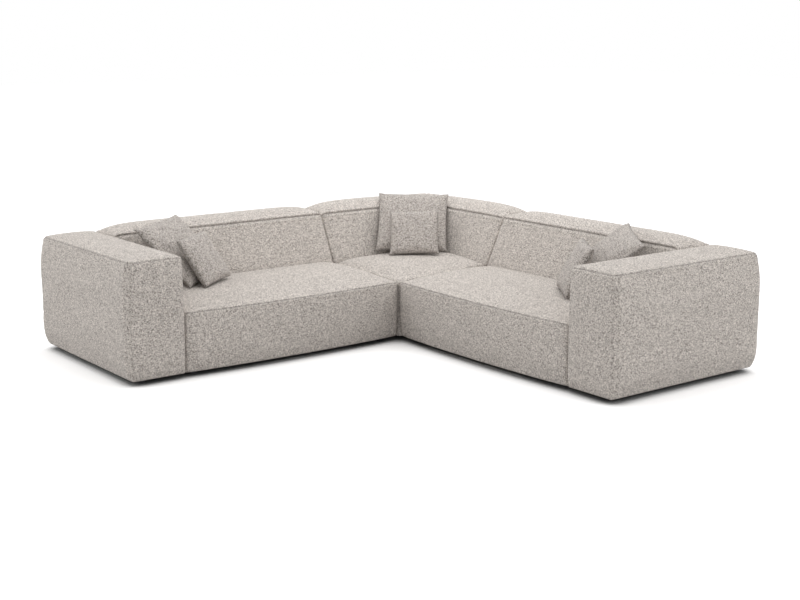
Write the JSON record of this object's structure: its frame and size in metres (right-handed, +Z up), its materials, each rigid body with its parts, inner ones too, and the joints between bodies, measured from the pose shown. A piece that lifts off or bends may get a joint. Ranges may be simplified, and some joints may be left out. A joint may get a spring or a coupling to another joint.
{
  "type": "corner sofa",
  "caption": "Low L-shaped corner sofa in speckled greige boucle, with wide arms at its ends, a corner seat, leaning backs and loose square cushions.",
  "frame": {"origin": "on the floor, under the middle of the square plan that the two wings span", "axes": "+Z up; the corner is at +X +Y; the left wing runs along X with its back at +Y and its arm at -X; the right wing runs along Y with its back at +X and its arm at -Y"},
  "size_m": [2.8501, 2.8501, 0.7493],
  "materials": {
    "upholstery_boucle": "speckled warm greige boucle with its quilted wadding",
    "cushion_boucle": "speckled warm greige boucle",
    "cushion_filling": "loose fibre in an inner bag",
    "foam": "cut polyurethane foam",
    "plywood": "raw birch plywood",
    "pine": "planed pine",
    "elastic_webbing": "woven elastic webbing",
    "spring_steel": "black coated spring wire",
    "zinc_steel": "zinc plated",
    "bracket_steel": "black powder coat",
    "black_plastic": "moulded black plastic glide",
    "dust_cloth": "black nonwoven cloth"
  },
  "bodies": {
    "corner_module": {"corner_back_cover_left": "upholstery_boucle", "corner_back_cover_right": "upholstery_boucle", "corner_back_foam": "foam", "corner_back_frame": "plywood", "corner_back_webbing": "elastic_webbing", "corner_connector_sockets": "bracket_steel", "corner_dust_cover": "dust_cloth", "corner_feet": "black_plastic", "corner_foot_screws": "zinc_steel", "corner_seat_cover": "upholstery_boucle", "corner_seat_foam": "foam", "corner_seat_frame": "pine", "corner_seat_springs": "spring_steel", "corner_spring_clips": "zinc_steel"},
    "left_module": {"left_arm_bolts": "zinc_steel", "left_arm_cover": "upholstery_boucle", "left_arm_foam": "foam", "left_arm_frame": "plywood", "left_back_cover": "upholstery_boucle", "left_back_foam": "foam", "left_back_frame": "plywood", "left_back_webbing": "elastic_webbing", "left_connector_hooks": "bracket_steel", "left_dust_cover": "dust_cloth", "left_feet": "black_plastic", "left_foot_screws": "zinc_steel", "left_seat_cover": "upholstery_boucle", "left_seat_foam": "foam", "left_seat_frame": "pine", "left_seat_springs": "spring_steel", "left_spring_clips": "zinc_steel"},
    "right_module": {"right_arm_bolts": "zinc_steel", "right_arm_cover": "upholstery_boucle", "right_arm_foam": "foam", "right_arm_frame": "plywood", "right_back_cover": "upholstery_boucle", "right_back_foam": "foam", "right_back_frame": "plywood", "right_back_webbing": "elastic_webbing", "right_connector_hooks": "bracket_steel", "right_dust_cover": "dust_cloth", "right_feet": "black_plastic", "right_foot_screws": "zinc_steel", "right_seat_cover": "upholstery_boucle", "right_seat_foam": "foam", "right_seat_frame": "pine", "right_seat_springs": "spring_steel", "right_spring_clips": "zinc_steel"},
    "left_large_cushion": {"left_large_cushion_cover": "cushion_boucle", "left_large_cushion_filling": "cushion_filling"},
    "left_small_cushion": {"left_small_cushion_cover": "cushion_boucle", "left_small_cushion_filling": "cushion_filling"},
    "corner_large_cushion": {"corner_large_cushion_cover": "cushion_boucle", "corner_large_cushion_filling": "cushion_filling"},
    "corner_small_cushion": {"corner_small_cushion_cover": "cushion_boucle", "corner_small_cushion_filling": "cushion_filling"},
    "right_large_cushion": {"right_large_cushion_cover": "cushion_boucle", "right_large_cushion_filling": "cushion_filling"},
    "right_small_cushion": {"right_small_cushion_cover": "cushion_boucle", "right_small_cushion_filling": "cushion_filling"}
  },
  "joints": [
    {"name": "left_module_lift", "type": "slide", "parent": "corner_module", "child": "left_module", "axis": [0, 0, 1], "range_m": [0, 0.065]},
    {"name": "right_module_lift", "type": "slide", "parent": "corner_module", "child": "right_module", "axis": [0, 0, 1], "range_m": [0, 0.065]},
    {"name": "left_large_cushion_lift", "type": "slide", "parent": "left_module", "child": "left_large_cushion", "axis": [0, 0, 1], "range_m": [0, 0.4]},
    {"name": "left_small_cushion_lift", "type": "slide", "parent": "left_large_cushion", "child": "left_small_cushion", "axis": [0, 0, 1], "range_m": [0, 0.35]},
    {"name": "corner_large_cushion_lift", "type": "slide", "parent": "corner_module", "child": "corner_large_cushion", "axis": [0, 0, 1], "range_m": [0, 0.4]},
    {"name": "corner_small_cushion_lift", "type": "slide", "parent": "corner_large_cushion", "child": "corner_small_cushion", "axis": [0, 0, 1], "range_m": [0, 0.35]},
    {"name": "right_large_cushion_lift", "type": "slide", "parent": "right_module", "child": "right_large_cushion", "axis": [0, 0, 1], "range_m": [0, 0.4]},
    {"name": "right_small_cushion_lift", "type": "slide", "parent": "right_large_cushion", "child": "right_small_cushion", "axis": [0, 0, 1], "range_m": [0, 0.35]}
  ]
}
